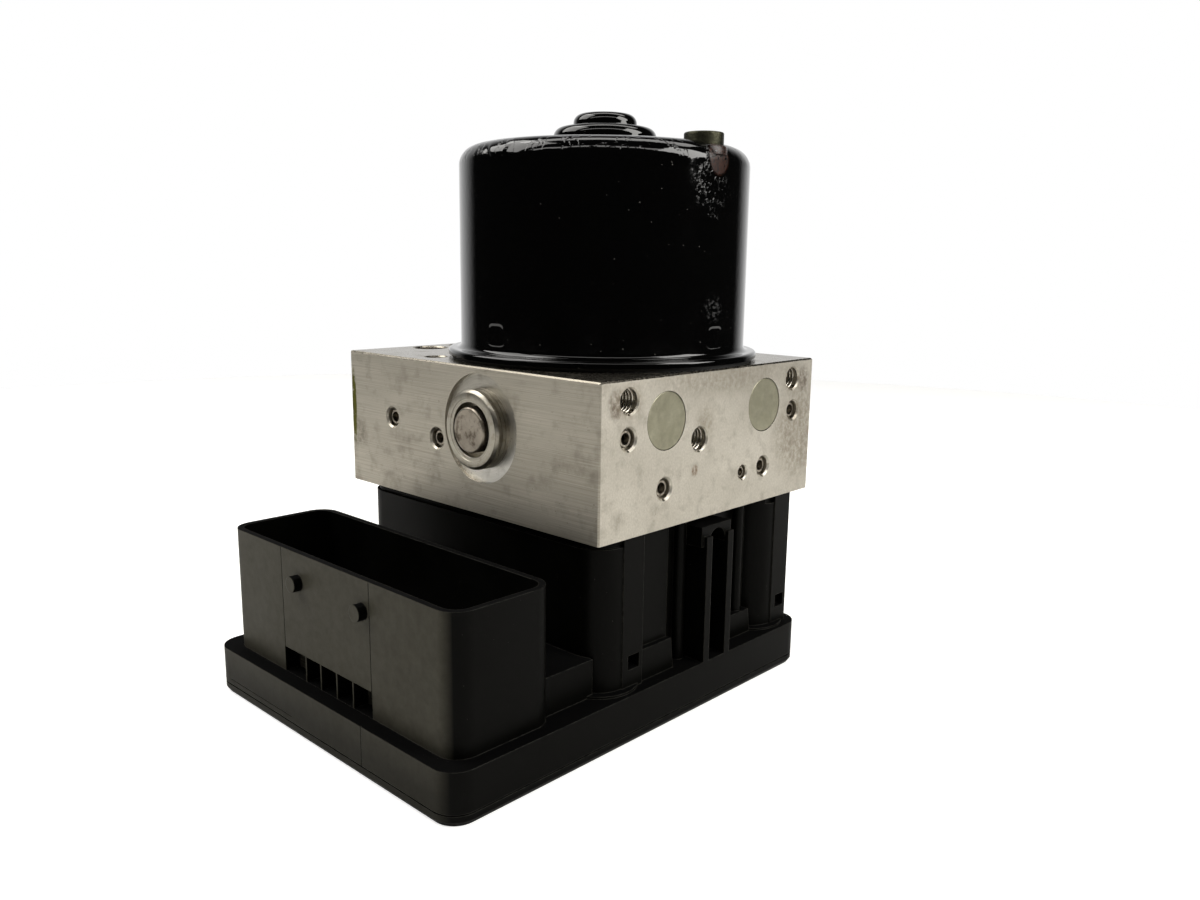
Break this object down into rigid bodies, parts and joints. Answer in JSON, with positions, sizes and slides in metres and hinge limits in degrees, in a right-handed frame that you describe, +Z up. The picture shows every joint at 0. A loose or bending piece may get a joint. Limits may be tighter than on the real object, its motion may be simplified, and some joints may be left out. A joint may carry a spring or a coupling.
{
  "type": "abs brake module",
  "caption": "Hydraulic unit of an anti-lock brake system: pump motor on an aluminium valve block, on a plastic control unit with an upward plug socket.",
  "frame": {"origin": "middle of the cover's flat underside", "axes": "+Z up along the motor's axis, -Y to the side with the plug socket, +X to the side with the fixing threads"},
  "size_m": [0.103, 0.1362, 0.1552],
  "materials": {
    "block_aluminium": "extruded and milled, bare",
    "black_paint": "glossy black paint",
    "stub_metal": "dull plated steel",
    "gasket_rubber": "black rubber",
    "plated_steel": "zinc plated",
    "brush_plastic": "black moulded",
    "carbon": "pressed carbon, matt",
    "spring_steel": "drawn spring wire",
    "ferrite": "sintered, dark grey",
    "core_steel": "stacked sheet steel",
    "copper_wire": "enamelled copper wire",
    "commutator_copper": "turned copper",
    "ground_steel": "ground and polished",
    "bushing_bronze": "sintered bronze",
    "turned_steel": "turned",
    "piston_aluminium": "anodised",
    "cap_steel": "stamped, dull",
    "ball_steel": "dark steel ball",
    "sleeve_steel": "dark oiled steel",
    "board_laminate": "green laminate",
    "chip_plastic": "black moulded",
    "pin_metal": "tinned brass",
    "housing_plastic": "satin moulded black",
    "cover_plastic": "satin moulded black"
  },
  "bodies": {
    "unit": {"valve_block": "block_aluminium", "motor_can": "black_paint", "can_stub": "stub_metal", "motor_gasket": "gasket_rubber", "motor_end_plate": "plated_steel", "brush_plate": "brush_plastic", "brushes": "carbon", "brush_springs": "spring_steel", "magnets": "ferrite", "top_bushing": "bushing_bronze", "bearing_outer": "ground_steel", "bearing_balls": "ground_steel", "pump_springs": "spring_steel", "pump_cylinders": "turned_steel", "outlet_balls": "ground_steel", "pump_plugs": "turned_steel", "pump_caps": "turned_steel", "accu_springs": "spring_steel", "accu_caps": "cap_steel", "ball_plugs": "ball_steel", "plug_sleeves": "sleeve_steel", "valve_tubes": "turned_steel", "valve_seats": "turned_steel", "valve_springs": "spring_steel", "valve_coils": "copper_wire", "coil_yokes": "core_steel", "circuit_board": "board_laminate", "board_parts": "chip_plastic", "pin_block": "brush_plastic", "signal_pins": "pin_metal", "power_pins": "pin_metal", "motor_pins": "pin_metal", "ecu_housing": "housing_plastic", "ecu_seal": "gasket_rubber", "ecu_cover": "cover_plastic", "ecu_screws": "plated_steel", "motor_screws": "plated_steel"},
    "rotor": {"rotor_core": "core_steel", "rotor_coils": "copper_wire", "commutator": "commutator_copper", "motor_shaft": "ground_steel", "bearing_inner": "ground_steel"},
    "pump_ring": {"eccentric_ring": "ground_steel", "eccentric_needles": "ground_steel"},
    "pump_piston_front_body": {"pump_piston_front": "ground_steel"},
    "pump_piston_back_body": {"pump_piston_back": "ground_steel"},
    "accu_piston_front_body": {"accu_piston_front": "piston_aluminium"},
    "accu_piston_back_body": {"accu_piston_back": "piston_aluminium"},
    "plunger_1": {"valve_plunger_1": "turned_steel"},
    "plunger_2": {"valve_plunger_2": "turned_steel"},
    "plunger_3": {"valve_plunger_3": "turned_steel"},
    "plunger_4": {"valve_plunger_4": "turned_steel"},
    "plunger_5": {"valve_plunger_5": "turned_steel"},
    "plunger_6": {"valve_plunger_6": "turned_steel"},
    "plunger_7": {"valve_plunger_7": "turned_steel"},
    "plunger_8": {"valve_plunger_8": "turned_steel"},
    "plunger_9": {"valve_plunger_9": "turned_steel"},
    "plunger_10": {"valve_plunger_10": "turned_steel"},
    "plunger_11": {"valve_plunger_11": "turned_steel"},
    "plunger_12": {"valve_plunger_12": "turned_steel"}
  },
  "joints": [
    {"name": "rotor_spin", "type": "hinge", "parent": "unit", "child": "rotor", "pos_m": [0.008, 0.024, 0.1], "axis": [0, 0, 1], "continuous": true},
    {"name": "pump_ring_spin", "type": "hinge", "parent": "rotor", "child": "pump_ring", "pos_m": [0.009, 0.024, 0.0743], "axis": [0, 0, 1], "continuous": true},
    {"name": "pump_piston_front_slide", "type": "slide", "parent": "unit", "child": "pump_piston_front_body", "axis": [0, -1, 0], "range_m": [0, 0.002], "stiffness_N_per_m": 1500, "springref_m": -0.004, "deforming": ["pump_springs"]},
    {"name": "pump_piston_back_slide", "type": "slide", "parent": "unit", "child": "pump_piston_back_body", "axis": [0, 1, 0], "range_m": [0, 0.002], "stiffness_N_per_m": 1500, "springref_m": -0.004, "deforming": ["pump_springs"]},
    {"name": "accu_piston_front_slide", "type": "slide", "parent": "unit", "child": "accu_piston_front_body", "axis": [1, 0, 0], "range_m": [0, 0.01], "stiffness_N_per_m": 800, "springref_m": -0.006, "deforming": ["accu_springs"]},
    {"name": "accu_piston_back_slide", "type": "slide", "parent": "unit", "child": "accu_piston_back_body", "axis": [1, 0, 0], "range_m": [0, 0.01], "stiffness_N_per_m": 800, "springref_m": -0.006, "deforming": ["accu_springs"]},
    {"name": "valve_1_lift", "type": "slide", "parent": "unit", "child": "plunger_1", "axis": [0, 0, 1], "range_m": [0, 0.0003], "stiffness_N_per_m": 2000, "springref_m": -0.0015, "deforming": ["valve_springs"]},
    {"name": "valve_2_lift", "type": "slide", "parent": "unit", "child": "plunger_2", "axis": [0, 0, 1], "range_m": [0, 0.0003], "stiffness_N_per_m": 2000, "springref_m": -0.0015, "deforming": ["valve_springs"]},
    {"name": "valve_3_lift", "type": "slide", "parent": "unit", "child": "plunger_3", "axis": [0, 0, 1], "range_m": [0, 0.0003], "stiffness_N_per_m": 2000, "springref_m": -0.0015, "deforming": ["valve_springs"]},
    {"name": "valve_4_lift", "type": "slide", "parent": "unit", "child": "plunger_4", "axis": [0, 0, 1], "range_m": [0, 0.0003], "stiffness_N_per_m": 2000, "springref_m": -0.0015, "deforming": ["valve_springs"]},
    {"name": "valve_5_lift", "type": "slide", "parent": "unit", "child": "plunger_5", "axis": [0, 0, 1], "range_m": [0, 0.0003], "stiffness_N_per_m": 2000, "springref_m": -0.0015, "deforming": ["valve_springs"]},
    {"name": "valve_6_lift", "type": "slide", "parent": "unit", "child": "plunger_6", "axis": [0, 0, 1], "range_m": [0, 0.0003], "stiffness_N_per_m": 2000, "springref_m": -0.0015, "deforming": ["valve_springs"]},
    {"name": "valve_7_lift", "type": "slide", "parent": "unit", "child": "plunger_7", "axis": [0, 0, 1], "range_m": [0, 0.0003], "stiffness_N_per_m": 2000, "springref_m": -0.0015, "deforming": ["valve_springs"]},
    {"name": "valve_8_lift", "type": "slide", "parent": "unit", "child": "plunger_8", "axis": [0, 0, 1], "range_m": [0, 0.0003], "stiffness_N_per_m": 2000, "springref_m": -0.0015, "deforming": ["valve_springs"]},
    {"name": "valve_9_lift", "type": "slide", "parent": "unit", "child": "plunger_9", "axis": [0, 0, 1], "range_m": [0, 0.0003], "stiffness_N_per_m": 2000, "springref_m": -0.0015, "deforming": ["valve_springs"]},
    {"name": "valve_10_lift", "type": "slide", "parent": "unit", "child": "plunger_10", "axis": [0, 0, 1], "range_m": [0, 0.0003], "stiffness_N_per_m": 2000, "springref_m": -0.0015, "deforming": ["valve_springs"]},
    {"name": "valve_11_lift", "type": "slide", "parent": "unit", "child": "plunger_11", "axis": [0, 0, 1], "range_m": [0, 0.0003], "stiffness_N_per_m": 2000, "springref_m": -0.0015, "deforming": ["valve_springs"]},
    {"name": "valve_12_lift", "type": "slide", "parent": "unit", "child": "plunger_12", "axis": [0, 0, 1], "range_m": [0, 0.0003], "stiffness_N_per_m": 2000, "springref_m": -0.0015, "deforming": ["valve_springs"]}
  ]
}
